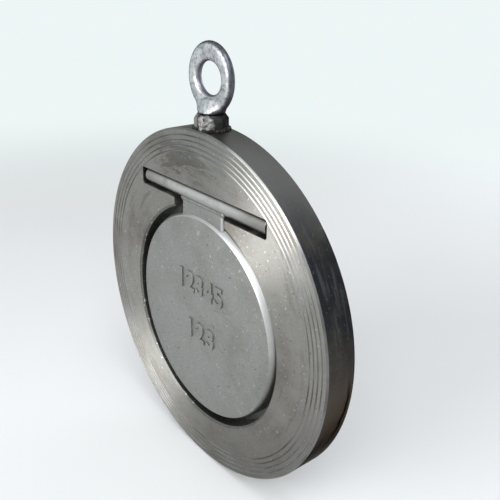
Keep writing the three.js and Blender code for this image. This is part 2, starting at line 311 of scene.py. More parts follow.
class Finish:
    """The nodes of one procedural finish. What is the same all over is set on the shader itself."""

    def __init__(self, name, owner=None, **constants):
        self.owner = owner or bpy.data.materials.new(name)
        self.owner.use_nodes = True
        self.tree = self.owner.node_tree
        self.surface = self.tree.nodes.get("Principled BSDF")
        for socket, value in constants.items():
            self.surface.inputs[self.label(socket)].default_value = value

    def label(self, name):
        """The shader's own label for a name such as base_color."""
        return name.replace("_", " ").title().replace("Ior", "IOR")

    def feed(self, socket, value):
        """Gives a socket a constant, or a link from a signal."""
        if isinstance(value, Signal):
            self.tree.links.new(value.socket, socket)
        elif socket.type == "RGBA":
            socket.default_value = (*value, 1)
        else:
            socket.default_value = value

    def node(self, kind, settings, inputs, output=0):
        made = self.tree.nodes.new(kind)
        for setting, value in settings.items():
            setattr(made, setting, value)
        for name, value in inputs.items():
            self.feed(made.inputs[name], value)
        return Signal(self, made.outputs[output])

    def place(self):
        """Where on the piece, in metres, in the piece's own frame."""
        return self.node("ShaderNodeTexCoord", {}, {}, output="Object")

    def parts_of(self, vector):
        return [self.node("ShaderNodeSeparateXYZ", {}, {0: vector}, output=axis) for axis in range(3)]

    def vector(self, x, y, z):
        return self.node("ShaderNodeCombineXYZ", {}, {0: x, 1: y, 2: z})

    def shifted(self, vector, offset):
        return self.node("ShaderNodeVectorMath", {"operation": "ADD"}, {0: vector, 1: offset})

    def grain(self, where, scale, detail=2.0, roughness=0.5):
        """Smooth noise from 0 to 1, with scale bumps to the metre."""
        settings = {"noise_dimensions": "3D", "normalize": True}
        inputs = {"Vector": where, "Scale": scale, "Detail": detail, "Roughness": roughness}
        return self.node("ShaderNodeTexNoise", settings, inputs)

    def step(self, value, low, high):
        """0 below low, 1 above high, and a smooth change between them."""
        settings = {"interpolation_type": "SMOOTHSTEP", "clamp": True}
        inputs = {"Value": value, "From Min": low, "From Max": high, "To Min": 0.0, "To Max": 1.0}
        return self.node("ShaderNodeMapRange", settings, inputs)

    def mixed(self, share, first, second):
        """Goes from the first colour to the second. 6, 7 and 2 are the node's colour sockets."""
        inputs = {0: share, 6: first, 7: second}
        return self.node("ShaderNodeMix", {"data_type": "RGBA"}, inputs, output=2)

    def shown_background(self):
        """1 for the rays that show the background: from the camera, off metal or through glass."""
        kinds = ("Is Camera Ray", "Is Glossy Ray", "Is Transmission Ray")
        rays = [self.node("ShaderNodeLightPath", {}, {}, output=kind) for kind in kinds]
        return rays[0] + rays[1] + rays[2]

    def relief(self, height, depth):
        """A bumped normal. The height runs from 0 to 1 over a depth in millimetres."""
        inputs = {"Height": height, "Distance": depth * MM, "Strength": 1.0}
        return self.node("ShaderNodeBump", {}, inputs)

    def finished(self, **channels):
        for channel, value in channels.items():
            self.feed(self.surface.inputs[self.label(channel)], value)
        return self.owner


def shade(colour, share):
    """A colour made darker or lighter by a share."""
    return tuple(share * part for part in colour)


def turned_finish(name, metal, stain, roughness, anisotropy, mark_depth, water_marks=0.0):
    """Steel turned about the piece's own Z: fine circles, faint stains and specks."""
    finish = Finish(name, metallic=1.0, anisotropic=anisotropy, anisotropic_rotation=0.25)
    where = finish.place()
    x, y, _ = finish.parts_of(where)
    radius = (x * x + y * y) ** 0.5

    def in_circles(around, across, detail):
        """Noise that runs round the piece, with so many bumps to a turn and to a metre of radius."""
        along = finish.vector(x / radius * around, y / radius * around, radius * across)
        return finish.grain(along, 1.0, detail=detail, roughness=0.65)

    marks = in_circles(0.6, 550, 3.0)
    broad = in_circles(0.9, 90, 0.0)
    streaks = in_circles(3.0, 170, 4.0)
    cloud = finish.grain(where, 22, detail=4.0, roughness=0.6)
    mottle = finish.grain(where, 75, detail=4.0, roughness=0.65)
    patch = finish.grain(where, 14, detail=1.0)
    pit = finish.step(finish.grain(where, 620, detail=1.0), 0.66, 0.75)
    nick = finish.step(finish.grain(where, 480, detail=1.0), 0.34, 0.26)
    soiled = finish.step(cloud, 0.45, 0.72)
    streaked = finish.step(streaks, 0.52, 0.68) * finish.step(patch, 0.42, 0.62)
    tone = finish.mixed(soiled * 0.65, metal, stain)
    tone = finish.mixed(finish.step(mottle, 0.5, 0.72) * 0.35, tone, stain)
    rust_shift = (0.31, 0.07, 0.0)
    rust = (stain[0], 0.8 * stain[1], 0.68 * stain[2])
    rusty = finish.step(finish.grain(finish.shifted(where, rust_shift), 17, detail=3.0), 0.52, 0.7)
    tone = finish.mixed(rusty * 0.4, tone, rust)
    tone = finish.mixed(streaked * 0.5, tone, shade(metal, 0.45))
    tone = finish.mixed(finish.step(marks, 0.3, 0.8) * 0.22, tone, shade(metal, 1.25))
    tone = finish.mixed(pit * 0.5, tone, shade(metal, 0.3))
    fresh_metal = (0.60, 0.60, 0.59)
    tone = finish.mixed(nick * 0.6, tone, fresh_metal)
    if water_marks:
        settled = finish.step(y - 0.4 * x + 0.03 * cloud, -0.03, -0.1)
        tone = finish.mixed(settled * 0.55, tone, shade(stain, 0.62))
        marks_x, marks_y = -0.018, 0.087
        spread = ((x - marks_x) ** 2.0 * 0.16 + (y - marks_y) ** 2.0) ** 0.5
        dried = in_circles(2.4, 130, 2.0)
        tide_line = finish.step(dried.away_from(0.47), 0.03, 0.008)
        tide_line = tide_line * 0.7 + finish.step(dried, 0.58, 0.64)
        tide_line = tide_line * finish.step(spread + 0.008 * cloud, 0.02, 0.012)
        tone = finish.mixed(tide_line * water_marks, tone, shade(stain, 0.3))
    return finish.finished(
        base_color=tone,
        roughness=roughness - 0.05 + 0.1 * broad + 0.06 * soiled + 0.2 * pit,
        normal=finish.relief(marks + 0.5 * pit, mark_depth),
    )


face_steel = turned_finish(
    "turned_face", metal=(0.306, 0.295, 0.273), stain=(0.176, 0.159, 0.138),
    roughness=0.52, anisotropy=0.9, mark_depth=0.012, water_marks=0.42,
)
bored_steel = turned_finish(
    "bored_seat", metal=(0.15, 0.147, 0.138), stain=(0.085, 0.08, 0.068),
    roughness=0.36, anisotropy=0.5, mark_depth=0.01,
)


def cut_finish(name, bright, dirty, roughness, painted_highlight=None):
    """A narrow cut with dirt in it here and there. An optional painted highlight brightens it at the
    upper right.
    """
    finish = Finish(name, metallic=1.0)
    where = finish.place()
    cloud = finish.grain(where, 35, detail=4.0)
    tone = finish.mixed(finish.step(cloud, 0.42, 0.66), bright, dirty)
    if painted_highlight:
        x, y, _ = finish.parts_of(where)
        highlight_x, highlight_y = 0.53, 0.85
        highlight_side = (highlight_x * x + highlight_y * y) / (x * x + y * y) ** 0.5
        # Painted highlight: a brighter tone over the upper right of the cut, standing in for light.
        tone = finish.mixed(finish.step(highlight_side + 0.03 * cloud, 0.95, 1.0), tone, painted_highlight)
    return finish.finished(
        base_color=tone,
        roughness=roughness + 0.15 * cloud,
        normal=finish.relief(cloud, 0.02),
    )


# The groove walls and cut edges take a painted highlight tone at the upper right.
groove_steel = cut_finish(
    "groove_walls", bright=(0.21, 0.208, 0.205), dirty=(0.105, 0.098, 0.089), roughness=0.25,
    painted_highlight=(0.42, 0.417, 0.405),
)
bevel_steel = cut_finish(
    "cut_edges", bright=(0.18, 0.179, 0.18), dirty=(0.10, 0.096, 0.09), roughness=0.31,
    painted_highlight=(0.46, 0.457, 0.447),
)

nut_place = (0.0, ring_radius * MM, -ring_thickness / 2 * MM)
# The rim is darker round the nut: fully within the first distance, fading out by the second.
darkened_within = 9.0
darkened_out_to = 14.0
rim = Finish("drawn_rim", metallic=1.0, specular_tint=(0.32, 0.30, 0.28, 1))
rim_place = rim.place()
rim_x, rim_y, rim_z = rim.parts_of(rim_place)
rim_cloud = rim.grain(rim_place, 30, detail=4.0, roughness=0.6)
rim_streak = rim.grain(rim.vector(rim_x * 45, rim_y * 45, rim_z * 420), 1.0, detail=3.0)
rim_speck = rim.step(rim.grain(rim_place, 700, detail=1.0), 0.66, 0.74)
from_nut = rim.node(
    "ShaderNodeVectorMath", {"operation": "DISTANCE"}, {0: rim_place, 1: nut_place}, output="Value",
)
darker_round_nut = rim.step(from_nut + 0.01 * rim_cloud, darkened_out_to * MM, darkened_within * MM)
rim_wander = rim.grain(rim_place, 60, detail=3.0)
score_bend = 0.12 / ring_radius / MM
score_path = (rim_z + 0.0125 + 0.006 * rim_wander - score_bend * rim_y * rim_y).away_from(0.0)
score = rim.step(score_path, 0.0016, 0.0006) * rim.step(rim_x, 0.06, 0.085)
score = score * rim.step(rim_y, 0.005, -0.012)
rim_tone = rim.mixed(rim.step(rim_cloud, 0.4, 0.7), (0.024, 0.024, 0.028), (0.064, 0.058, 0.05))
rim_tone = rim.mixed(rim.step(rim_streak, 0.5, 0.75) * 0.5, rim_tone, (0.10, 0.10, 0.115))
rim_tone = rim.mixed(rim_speck * 0.4, rim_tone, (0.12, 0.12, 0.12))
# Painted light: the rim is painted lighter towards the top, where light falls on it.
painted_light_top = rim.step(rim_y, 0.062, 0.105) * 0.9
rim_tone = rim.mixed(painted_light_top, rim_tone, (0.18, 0.175, 0.172))
# Painted light: the rim is painted a lighter brown-grey towards the foot, standing in for light there.
painted_light_foot = rim.step(rim_y, -0.05, -0.09) * 0.75
rim_tone = rim.mixed(painted_light_foot, rim_tone, (0.135, 0.121, 0.103))
brown_film = rim.step(rim_x + 0.012 * rim_cloud, 0.099, 0.113) * rim.step(rim_y, 0.03, -0.01)
rim_tone = rim.mixed(brown_film * 0.8, rim_tone, (0.095, 0.083, 0.07))
rim_steel = rim.finished(
    base_color=rim.mixed((darker_round_nut + score) * 0.8, rim_tone, (0.012, 0.011, 0.01)),
    roughness=0.28 + 0.12 * rim_cloud + 0.1 * rim_streak,
    normal=rim.relief(rim_cloud + 0.3 * rim_streak + 0.1 * rim_speck, 0.03),
)

# Painted shade: the walls of the slot, the notch and the tapped hole take a near-black tone for the
# shade in them, with dirt varying it.
slot_shade_and_dirt = Finish("milled_slot", metallic=1.0)
slot_cloud = slot_shade_and_dirt.grain(slot_shade_and_dirt.place(), 130, detail=3.0)
slot_soiled = slot_shade_and_dirt.step(slot_cloud, 0.4, 0.65)
slot_steel = slot_shade_and_dirt.finished(
    base_color=slot_shade_and_dirt.mixed(slot_soiled, (0.05, 0.047, 0.045), (0.12, 0.113, 0.105)),
    roughness=0.5 + 0.2 * slot_cloud,
    normal=slot_shade_and_dirt.relief(slot_cloud, 0.05),
)

body_finishes = [face_steel, rim_steel, bevel_steel, groove_steel, bored_steel, slot_steel]
on_face, on_rim, on_bevel, on_groove, on_bore, on_slot = range(len(body_finishes))
for piece in (body, seat_cutter, slot_cutter, notch_cutter, thread_cutter):
    for finish in body_finishes:
        piece.data.materials.append(finish)
for face in body.data.polygons:
    from_axis = math.hypot(face.center.x, face.center.y) / MM
    if from_axis > ring_radius - 0.1:
        face.material_index = on_rim
    elif from_axis > ring_radius - 1.2 * ring_chamfer:
        face.material_index = on_bevel
    elif abs(face.normal.z) < 0.9:
        face.material_index = on_groove
cut_surfaces = (
    (seat_cutter, on_bore), (slot_cutter, on_slot), (notch_cutter, on_slot), (thread_cutter, on_slot),
)
for cutter, index in cut_surfaces:
    for face in cutter.data.polygons:
        face.material_index = index
combined(body, "DIFFERENCE", [seat_cutter, slot_cutter, notch_cutter, thread_cutter])
facing_outlet(smooth_shaded(body))
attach(body, "body_ring")
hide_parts("valve_body")

# Hinge shaft
#
# A drawn stainless bar with a small chamfer at each end. It lies loose in the milled slot, and the
# mating flange keeps it there. Its underside and its ends are painted darker, as painted shade.
shaft_chamfer = 0.6

bar_end = shaft_length / 2
bar_rounding = [
    (shaft_radius - shaft_chamfer, bar_end), (shaft_radius, bar_end - shaft_chamfer),
    (shaft_radius, shaft_chamfer - bar_end), (shaft_radius - shaft_chamfer, -bar_end),
]
shaft = turned_over(turned_rod("hinge_shaft_bar", reversed(bar_rounding), sides=96), "Y", 90)
moved(shaft, y=shaft_height, z=-shaft_depth)

drawn = Finish("drawn_bar", metallic=1.0)
drawn_place = drawn.place()
bar_x, bar_y, bar_z = drawn.parts_of(drawn_place)
streak = drawn.grain(drawn.vector(bar_x * 40, bar_y * 900, bar_z * 900), 1.0, detail=2.0)
drawn_cloud = drawn.grain(drawn_place, 120, detail=3.0)
# Painted shade: the bar is painted darker towards its ends, which sit in the slot.
shaded_ends = drawn.step(bar_x.away_from(0.0) + 0.02 * drawn_cloud, 0.03, 0.066)
shade_top, shade_foot = (shaft_height + 2) * MM, (shaft_height - 3) * MM
# Painted shade: the bar is painted darker below its middle.
shaded_underside = drawn.step(bar_y + 0.002 * drawn_cloud, shade_top, shade_foot)
bar_worn = drawn.step(drawn_cloud, 0.45, 0.7) * 0.6
bar_tone = drawn.mixed(bar_worn, (0.45, 0.445, 0.44), (0.31, 0.30, 0.28))
bar_tone = drawn.mixed(shaded_underside * 0.85, bar_tone, (0.17, 0.162, 0.155))
shaft.data.materials.append(drawn.finished(
    base_color=drawn.mixed(shaded_ends * 0.75, bar_tone, (0.198, 0.184, 0.165)),
    roughness=0.34 + 0.14 * drawn_cloud,
    normal=drawn.relief(streak, 0.01),
))
facing_outlet(smooth_shaded(shaft))
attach(shaft, "flap")
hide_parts("hinge_shaft")

# Clapper disc
#
# A cast and blasted stainless disc, its front edge turned a little off centre. Its short arm is
# hollowed to sit under the shaft. The seal and its plate fit a pocket turned in the back, and plain
# raised digits stand on the front.
recess_play = 4
disc_radius = recess_radius - recess_play
disc_set = 1.2
disc_edge = 3.0
disc_edge_width = 1.9
edge_fullness = 1.3
edge_off_centre = 1.3
edge_widest = math.radians(50)
disc_lip = 10.5
lip_chamfer = 0.4
pocket_radius = 62.8
pocket_depth = 6.7
boss_radius = 50.7
boss_depth = 9.0
arm_half_width = 20.0
arm_root = boss_radius + 6
arm_set = 2.3
arm_rounding = 1.6
arm_wrap = 0.6
saddle_gap = 0.3
hinge_drop = shaft_height + bore_drop

edge_steps = 12
front_edge = []
for i in range(edge_steps + 1):
    turn = math.pi / 2 * i / edge_steps
    across = disc_edge_width * math.cos(turn) ** (2 / edge_fullness)
    rise = disc_edge * math.sin(turn) ** (2 / edge_fullness)
    front_edge.append((disc_radius - disc_edge_width + across, rise - disc_set - disc_edge))
disc = turned_rod("clapper_disc_cast", [
    (boss_radius, -boss_depth),
    (boss_radius, -pocket_depth),
    (pocket_radius, -pocket_depth),
    (pocket_radius, -disc_lip),
    (disc_radius - lip_chamfer, -disc_lip),
    (disc_radius, lip_chamfer - disc_lip),
    *front_edge,
])
for vert in disc.data.vertices:
    up_the_edge = (vert.co.z / MM + disc_set + disc_edge) / disc_edge
    if up_the_edge > 0:
        vert.co.x -= edge_off_centre * math.cos(edge_widest) * up_the_edge * MM
        vert.co.y -= edge_off_centre * math.sin(edge_widest) * up_the_edge * MM


def rounded_block(name, low, high, rounding):
    """A block with rounded edges between its lowest and highest corners."""
    shape = bmesh.new()
    bmesh.ops.create_cube(shape, size=1)
    size = Vector(high) - Vector(low)
    middle = (Vector(high) + Vector(low)) / 2
    bmesh.ops.scale(shape, vec=size, verts=shape.verts)
    bmesh.ops.translate(shape, vec=middle, verts=shape.verts)
    bmesh.ops.bevel(
        shape, geom=shape.edges[:], offset=rounding, segments=4, profile=0.5, affect="EDGES",
    )
    return in_metres(name, shape)


arm = rounded_block(
    "arm_block",
    (-arm_half_width, arm_root, -disc_lip),
    (arm_half_width, hinge_drop - arm_wrap * shaft_radius, -arm_set),
    arm_rounding,
)
saddle_radius = shaft_radius + saddle_gap
saddle_end = arm_half_width + cut_past
saddle = turned_over(turned_rod("saddle_cutter", [
    (saddle_radius, -saddle_end), (saddle_radius, saddle_end),
], sides=64), "Y", 90)
moved(saddle, y=hinge_drop, z=-shaft_depth)
pocket = turned_rod("pocket_cutter", [
    (pocket_radius, -disc_lip - cut_past), (pocket_radius, -pocket_depth),
])
arm = combined(arm, "DIFFERENCE", [pocket, saddle])
combined(disc, "UNION", [arm])

digit_type_size = 17.55
digit_boldness = 0.4
digit_rise = 0.85
digit_rounding = 0.2
digit_shift = -1.2
digit_rows = (("12345", 20.0, 9.6), ("123", -12.5, 10.5))


def raised_digits(row, height, pitch):
    """Cast digits that stand on the disc's front, one object for each."""
    made = []
    for i, digit in enumerate(row):
        curve = bpy.data.curves.new("digit_" + digit, "FONT")
        curve.body = digit
        curve.align_x = "CENTER"
        curve.align_y = "CENTER"
        curve.size = digit_type_size * MM
        curve.offset = digit_boldness * MM
        curve.extrude = digit_rise * MM
        curve.bevel_depth = digit_rounding * MM
        curve.bevel_resolution = 2
        text = bpy.data.objects.new("digit_" + digit, curve)
        bpy.context.scene.collection.objects.link(text)
        evaluated = text.evaluated_get(bpy.context.evaluated_depsgraph_get())
        mesh = bpy.data.meshes.new_from_object(evaluated)
        bpy.data.objects.remove(text)
        raised = bpy.data.objects.new("digit_" + digit, mesh)
        bpy.context.scene.collection.objects.link(raised)
        from_middle = (i - (len(row) - 1) / 2) * pitch
        made.append(moved(raised, from_middle + digit_shift, height, -disc_set))
    return made


def joined(piece, others):
    """Makes one object of several, whose meshes stay as they are."""
    shape = bmesh.new()
    shape.from_mesh(piece.data)
    for other in others:
        shape.from_mesh(other.data)
        bpy.data.objects.remove(other)
    shape.to_mesh(piece.data)
    shape.free()
    return piece


for row, height, pitch in digit_rows:
    joined(disc, raised_digits(row, height, pitch))

cast = Finish("blasted_casting", metallic=1.0)
cast_place = cast.place()
cast_grain = cast.grain(cast_place, 1100, detail=2.0)
cast_dent = cast.grain(cast_place, 260, detail=3.0)
cast_cloud = cast.grain(cast_place, 45, detail=3.0)
cast_pit = cast.step(cast.grain(cast_place, 520, detail=1.0), 0.68, 0.76)
cast_x, cast_y, _ = cast.parts_of(cast_place)
cast_dull = cast.step(cast_cloud, 0.35, 0.7)
cast_tone = cast.mixed(cast_dull, (0.273, 0.273, 0.265), (0.229, 0.226, 0.214))
# Painted light: the disc is painted lighter towards the lower left, evening out the light over its face.
painted_light_lower_left = cast.step(cast_x + cast_y + 0.03 * cast_cloud, 0.08, -0.06)
cast_tone = cast.mixed(painted_light_lower_left * 0.6, cast_tone, (0.349, 0.349, 0.336))
cast_rough = cast.step(cast_grain, 0.35, 0.65) * 0.35
cast_tone = cast.mixed(cast_rough, cast_tone, (0.174, 0.174, 0.168))
cast_nick = cast.step(cast.grain(cast_place, 430, detail=1.0), 0.32, 0.25)
cast_tone = cast.mixed(cast_nick * 0.35, cast_tone, (0.55, 0.55, 0.54))
cast_steel = cast.finished(
    base_color=cast.mixed(cast_pit * 0.7, cast_tone, (0.11, 0.105, 0.1)),
    roughness=0.50 + 0.12 * cast_cloud,
    normal=cast.relief(cast_grain + 2.0 * cast_dent - cast_pit, 0.03),
)
turned_edge = Finish("turned_edge", metallic=1.0)
edge_place = turned_edge.place()
edge_x, edge_y, _ = turned_edge.parts_of(edge_place)
edge_cloud = turned_edge.grain(edge_place, 90, detail=3.0)
# Painted shade: the turned edge is painted darker at the lower right.
disc_edge_shade = turned_edge.step(edge_x - edge_y + 0.02 * edge_cloud, 0.05, 0.1)
edge_tone = turned_edge.mixed(edge_cloud, (0.462, 0.462, 0.462), (0.374, 0.369, 0.358))
turned_edge_steel = turned_edge.finished(
    base_color=turned_edge.mixed(disc_edge_shade * 0.7, edge_tone, (0.12, 0.117, 0.11)),
    roughness=0.32 + 0.14 * edge_cloud,
    normal=turned_edge.relief(edge_cloud, 0.02),
)
# Painted shade: the digits' sides take a dark tone for the shade along them.
digit_side_shade = cut_finish(
    "digit_sides", bright=(0.13, 0.128, 0.122), dirty=(0.09, 0.087, 0.082), roughness=0.45,
)
for finish in (cast_steel, turned_edge_steel, digit_side_shade):
    disc.data.materials.append(finish)
on_turned_edge, on_digit = 1, 2
edge_starts = disc_radius - disc_edge_width - 2 * edge_off_centre
digit_starts = 0.05 - disc_set
for face in disc.data.polygons:
    from_axis = math.hypot(face.center.x, face.center.y) / MM
    height = face.center.z / MM
    slopes = height > -disc_set - disc_edge and 0.05 < face.normal.z < 0.99
    if slopes and from_axis > edge_starts:
        face.material_index = on_turned_edge
    elif height > digit_starts and face.normal.z < 0.7:
        face.material_index = on_digit
facing_outlet(smooth_shaded(disc, sharpest=35), height=-bore_drop)
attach(disc, "flap")
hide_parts("clapper_disc")

# Welds between arm and shaft
#
# One bead along each half of the joint, laid by hand and thicker at the arm's corner. The skin is
# rippled and keeps a faint straw heat tint.
bead_radius = 1.7
bead_pitch = 1.5
bead_below_seam = 0.8
bead_set = 1.3
corner_radius = 1.9
corner_inset = 0.6
corner_set = 1.0


def weld_finish(name, bright, dark, roughness, ripple_depth):
    finish = Finish(name, metallic=1.0)
    where = finish.place()
    cloud = finish.grain(where, 240, detail=3.0)
    ripple = finish.grain(where, 650, detail=2.0)
    straw = (0.165, 0.143, 0.121)
    tone = finish.mixed(finish.step(cloud, 0.35, 0.65), bright, dark)
    tone = finish.mixed(finish.step(ripple, 0.55, 0.8) * 0.5, tone, straw)
    return finish.finished(
        base_color=tone,
        roughness=roughness + 0.25 * cloud,
        normal=finish.relief(ripple, ripple_depth),
    )


def lump(name, radii, unevenness, seed):
    """A rounded lump of weld metal with an uneven skin."""
    shape = bmesh.new()
    bmesh.ops.create_icosphere(shape, subdivisions=3, radius=1)
    for vert in shape.verts:
        uneven = 1 + unevenness * noise.noise(vert.co * 1.7 + Vector((seed, 0, 0)))
        vert.co = Vector(part * radius for part, radius in zip(vert.co, radii)) * uneven
    return in_metres(name, shape)


def fused(piece, voxel, smoothing):
    """Melts a piece's parts into one smooth skin."""
    skin = piece.modifiers.new("skin", "REMESH")
    skin.mode = "VOXEL"
    skin.voxel_size = voxel * MM
    rounding = piece.modifiers.new("rounding", "SMOOTH")
    rounding.factor = 0.5
    rounding.iterations = smoothing
    return with_modifiers_applied(piece)


arm_weld_finish = weld_finish(
    "arm_weld", bright=(0.252, 0.249, 0.237), dark=(0.216, 0.21, 0.198),
    roughness=0.4, ripple_depth=0.04,
)
corner_size = (corner_radius, corner_radius, 0.8 * corner_radius)
bead_size = (1.2 * bead_radius, bead_radius, bead_radius)
seam_drop = math.sqrt(shaft_radius ** 2 - (shaft_depth - arm_set) ** 2)
bead_height = hinge_drop - seam_drop - bead_below_seam
for side, name in ((-1, "shaft_weld_left"), (1, "shaft_weld_right")):
    corner = lump(name + "_corner", corner_size, unevenness=0.2, seed=side)
    corner_across = side * (arm_half_width - corner_inset)
    lumps = [moved(corner, corner_across, bead_height, -arm_set - corner_set)]
    for i in range(int(arm_half_width / bead_pitch)):
        bead = lump(f"{name}_{i}", bead_size, unevenness=0.2, seed=5 * i + side)
        lumps.append(moved(bead, side * (0.5 + i) * bead_pitch, bead_height, -arm_set - bead_set))
    bead = fused(joined(lumps[0], lumps[1:]), voxel=0.3, smoothing=10)
    bead.name = name + "_bead"
    bead.data.materials.append(arm_weld_finish)
    facing_outlet(smooth_shaded(bead, sharpest=60), height=-bore_drop)
    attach(bead, "flap")
    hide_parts(name)

# Seal ring
#
# A moulded nitrile ring with a square band that meets the seat land and a thin inner flange. It lies in
# the disc's pocket, and the retainer plate clamps the flange.
seal_low, seal_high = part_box("disc_seal_ring")
seal_radius = (seal_high.x - seal_low.x) / 2 / MM
seal_front = (seal_low.y - outlet_face) / MM
seal_back = (seal_high.y - outlet_face) / MM
seal_inner = 51.0
band_inner = 54.3
flange_thickness = 2.0
flange_back = seal_front + flange_thickness
seal_rounding = 0.4

seal = turned_ring("seal_ring_moulded", eased([
    (seal_inner, -seal_front),
    (seal_radius, -seal_front),
    (seal_radius, -seal_back),
    (band_inner, -seal_back),
    (band_inner, -flange_back),
    (seal_inner, -flange_back),
], seal_rounding))
rubber = Finish("nitrile", metallic=0.0)
rubber_place = rubber.place()
rubber_cloud = rubber.grain(rubber_place, 180, detail=3.0)
rubber_grain = rubber.grain(rubber_place, 1500, detail=2.0)
rubber_dusty = rubber.step(rubber_cloud, 0.4, 0.7)
seal.data.materials.append(rubber.finished(
    base_color=rubber.mixed(rubber_dusty, (0.012, 0.012, 0.013), (0.035, 0.034, 0.033)),
    roughness=0.55 + 0.2 * rubber_cloud,
    normal=rubber.relief(rubber_grain, 0.02),
))
facing_outlet(smooth_shaded(seal), height=-bore_drop)
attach(seal, "flap")
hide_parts("disc_seal_ring")

# Retainer plate
#
# A flat stainless plate, faced on the lathe with a small chamfer. Six screws through it pull the seal's
# flange against the disc.
plate_low, plate_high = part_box("seal_retainer_plate")
plate_radius = (plate_high.x - plate_low.x) / 2 / MM
plate_front = (plate_low.y - outlet_face) / MM
plate_back = (plate_high.y - outlet_face) / MM
plate_chamfer = 0.8

plate = turned_rod("retainer_plate_faced", [
    (plate_radius - plate_chamfer, -plate_back),
    (plate_radius, plate_chamfer - plate_back),
    (plate_radius, -plate_front),
])
plate.data.materials.append(turned_finish(
    "faced_plate", metal=(0.312, 0.309, 0.3), stain=(0.26, 0.248, 0.229),
    roughness=0.34, anisotropy=0.7, mark_depth=0.01,
))
facing_outlet(smooth_shaded(plate), height=-bore_drop)
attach(plate, "flap")
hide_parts("seal_retainer_plate")

# Retainer screws and their spring washers
#
# Six low-headed stainless socket screws, each with a split spring washer under its head. The hexagon
# socket is forged in, and the washer's two cut ends stay a little apart.
screw_count = 6
screw_shank_radius = 2.5
head_chamfer = 0.5
head_gap = 0.3
socket_flats = 3.0
socket_depth = 2.0
washer_inner = 2.8
washer_outer = 4.6
washer_split = 0.9
washer_rise = 0.25
washer_turn = 57

fastener = Finish("forged_screw", metallic=1.0)
fastener_place = fastener.place()
fastener_cloud = fastener.grain(fastener_place, 420, detail=3.0)
fastener_dull = fastener.step(fastener_cloud, 0.4, 0.7)
fastener_steel = fastener.finished(
    base_color=fastener.mixed(fastener_dull, (0.422, 0.422, 0.428), (0.304, 0.297, 0.29)),
    roughness=0.22 + 0.2 * fastener_cloud,
    normal=fastener.relief(fastener_cloud, 0.03),
)
spring = Finish("spring_steel", metallic=1.0)
spring_cloud = spring.grain(spring.place(), 500, detail=3.0)
spring_dull = spring.step(spring_cloud, 0.4, 0.7)
spring_steel = spring.finished(
    base_color=spring.mixed(spring_dull, (0.33, 0.33, 0.337), (0.238, 0.231, 0.224)),
    roughness=0.3 + 0.2 * spring_cloud,
    normal=spring.relief(spring_cloud, 0.03),
)


def socket_screw(name, head_radius, shank_radius, tip, under_head, top):
    """A screw on Z with its head upwards, between heights above the plate's own back."""
    screw = turned_rod(name, [
        (shank_radius - head_chamfer, tip),
        (shank_radius, tip + head_chamfer),
        (shank_radius, under_head),
        (head_radius, under_head),
        (head_radius, top - head_chamfer),
        (head_radius - 0.3 * head_chamfer, top - 0.3 * head_chamfer),
        (head_radius - head_chamfer, top),
    ], sides=48)
    socket_corner = socket_flats / math.sqrt(3)
    socket = turned_rod("socket_cutter", [
        (socket_corner, top - socket_depth), (socket_corner, top + cut_past),
    ], sides=6)
    return combined(screw, "DIFFERENCE", [socket])


def split_washer(name, inner, outer, bottom, thickness):
    """A washer of square wire that climbs a little from one cut end to the other."""
    gap = washer_split / outer
    steps = 48
    rings = []
    for i in range(steps + 1):
        turn = gap / 2 + (2 * math.pi - gap) * i / steps
        low = bottom + washer_rise * i / steps
        high = bottom + thickness - washer_rise + washer_rise * i / steps
        section = ((inner, low), (outer, low), (outer, high), (inner, high))
        rings.append([(r * math.cos(turn), r * math.sin(turn), height) for r, height in section])
    return lofted(name, rings)


for number in range(1, screw_count + 1):
    screw_node = f"retainer_screw_{number}"
    washer_node = f"spring_washer_{number}"
    low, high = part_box(screw_node)
    washer_low, washer_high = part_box(washer_node)
    across = (low.x + high.x) / 2
    height = (low.z + high.z) / 2
    seat = Matrix.Translation((across, 0, height)) @ Matrix.Rotation(-math.pi / 2, 4, "X")
    screw = socket_screw(
        screw_node + "_turned", (high.x - low.x) / 2 / MM, screw_shank_radius,
        low.y / MM, washer_high.y / MM + head_gap, high.y / MM,
    )
    screw.data.materials.append(fastener_steel)
    washer = split_washer(
        washer_node + "_coiled", washer_inner, washer_outer,
        washer_low.y / MM, (washer_high.y - washer_low.y) / MM,
    )
    turned_over(washer, "Z", washer_turn * number)
    washer.data.materials.append(spring_steel)
    for piece, node in ((screw, screw_node), (washer, washer_node)):
        smooth_shaded(piece)
        piece.matrix_world = seat
        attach(piece, "flap")
        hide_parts(node)

# Eye nut
#
# A plain hexagon nut with a deep chamfer at its top, threaded on the eye's shank and tacked to the
# rim. Its skin is painted dark as shade, and its left side is painted lighter, as painted light.
nut_low, nut_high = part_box("eye_nut")
nut_flats = (nut_high.x - nut_low.x) / MM
nut_bottom = nut_low.z / MM
nut_top = nut_high.z / MM
nut_chamfer_width = 2.0
nut_chamfer_height = 3.0
nut_corner = nut_flats / math.sqrt(3)
nut_edge = 0.5
crown_clearance = 0.2
crown_above = 0.1


def upright_prism(name, radius, bottom, top, sides, edge):
    """A prism on Z with one corner towards -Y and rounded edges."""
    shape = bmesh.new()
    bmesh.ops.create_cone(
        shape, cap_ends=True, segments=sides, radius1=radius, radius2=radius, depth=top - bottom,
        matrix=Matrix.Translation((0, 0, (top + bottom) / 2)) @ Matrix.Rotation(math.pi / 2, 4, "Z"),
    )
    bmesh.ops.bevel(shape, geom=shape.edges[:], offset=edge, segments=3, profile=0.5, affect="EDGES")
    return in_metres(name, shape)


nut = upright_prism("eye_nut_forged", nut_corner, nut_bottom, nut_top, 6, nut_edge)
crown = turned_rod("crown_tool", [
    (nut_corner + crown_clearance, nut_bottom - cut_past),
    (nut_corner + crown_clearance, nut_top - nut_chamfer_height),
    (nut_corner - nut_chamfer_width, nut_top + crown_above),
], sides=96)
combined(nut, "INTERSECT", [crown])

